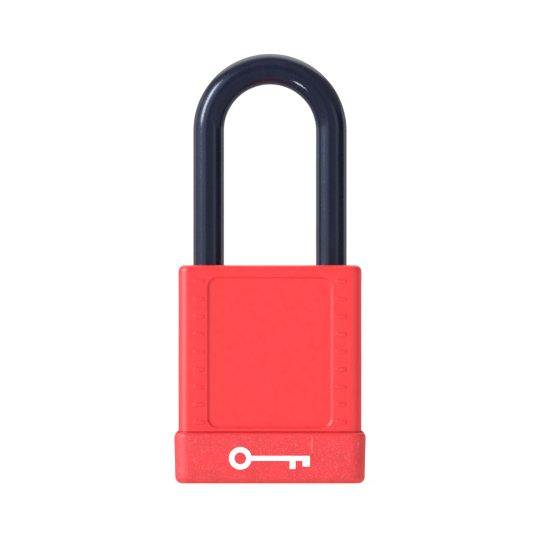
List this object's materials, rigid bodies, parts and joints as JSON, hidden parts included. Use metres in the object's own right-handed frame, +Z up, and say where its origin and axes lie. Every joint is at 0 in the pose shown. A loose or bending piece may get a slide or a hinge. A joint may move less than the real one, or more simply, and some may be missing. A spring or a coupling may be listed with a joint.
{
  "type": "keyed safety padlock",
  "caption": "Keyed safety padlock with a tall sleeved shackle, a moulded rectangular body, a recessed label panel, a wider bottom cap and a keyway underneath.",
  "frame": {"origin": "middle of the resting face under the bottom cap", "axes": "+Z up along the shackle legs, +X towards the heel leg, which stays in the body, -Y out of the front with the symbol"},
  "size_m": [0.0402, 0.0212, 0.0901],
  "materials": {
    "red_cover": "smooth satin moulding",
    "red_cap": "fine-grained matte moulding",
    "white_print": "matte ink",
    "core_aluminium": "machined, light tool marks",
    "pin_steel": "ground",
    "shackle_steel": "plated, drawn bar",
    "black_sleeve": "glossy blue-black coating",
    "spring_steel": "bright drawn wire and strip",
    "ball_steel": "polished",
    "cylinder_brass": "drawn and machined",
    "plug_brass": "turned face",
    "cam_steel": "sintered",
    "key_pin_brass": "turned",
    "driver_pin_brass": "turned"
  },
  "bodies": {
    "body": {"body_cover": "red_cover", "bottom_cap": "red_cap", "cap_symbol": "white_print", "lock_core": "core_aluminium", "heel_pin": "pin_steel", "cylinder_pin": "pin_steel", "cylinder_housing": "cylinder_brass", "chamber_strip": "cylinder_brass", "shackle_spring": "spring_steel", "driver_pin_1": "driver_pin_brass", "driver_pin_2": "driver_pin_brass", "driver_pin_3": "driver_pin_brass", "driver_pin_4": "driver_pin_brass", "driver_pin_5": "driver_pin_brass", "driver_pin_6": "driver_pin_brass", "pin_spring_1": "spring_steel", "pin_spring_2": "spring_steel", "pin_spring_3": "spring_steel", "pin_spring_4": "spring_steel", "pin_spring_5": "spring_steel", "pin_spring_6": "spring_steel"},
    "plug": {"plug": "plug_brass", "plug_clip": "spring_steel", "locking_cam": "cam_steel", "key_pin_1": "key_pin_brass", "key_pin_2": "key_pin_brass", "key_pin_3": "key_pin_brass", "key_pin_4": "key_pin_brass", "key_pin_5": "key_pin_brass", "key_pin_6": "key_pin_brass"},
    "shackle": {"shackle_bar": "shackle_steel", "shackle_sleeve": "black_sleeve"},
    "toe_ball": {"toe_ball": "ball_steel"},
    "heel_ball": {"heel_ball": "ball_steel"}
  },
  "joints": [
    {"name": "plug_turn", "type": "hinge", "parent": "body", "child": "plug", "pos_m": [0, 0, 0.0005], "axis": [0, 0, 1], "range_deg": [0, 90]},
    {"name": "toe_ball_slide", "type": "slide", "parent": "body", "child": "toe_ball", "axis": [1, 0, 0], "range_m": [0, 0.004]},
    {"name": "heel_ball_slide", "type": "slide", "parent": "body", "child": "heel_ball", "axis": [-1, 0, 0], "range_m": [0, 0.004]},
    {"name": "shackle_lift", "type": "slide", "parent": "body", "child": "shackle", "axis": [0, 0, 1], "range_m": [0, 0.012], "deforming": ["shackle_spring"]}
  ],
  "couplings": [
    {"joint": "plug_turn", "follows": "shackle_lift", "rad_per_m": 130.89},
    {"joint": "toe_ball_slide", "follows": "shackle_lift", "ratio": 0.3333},
    {"joint": "heel_ball_slide", "follows": "shackle_lift", "ratio": 0.3333}
  ]
}
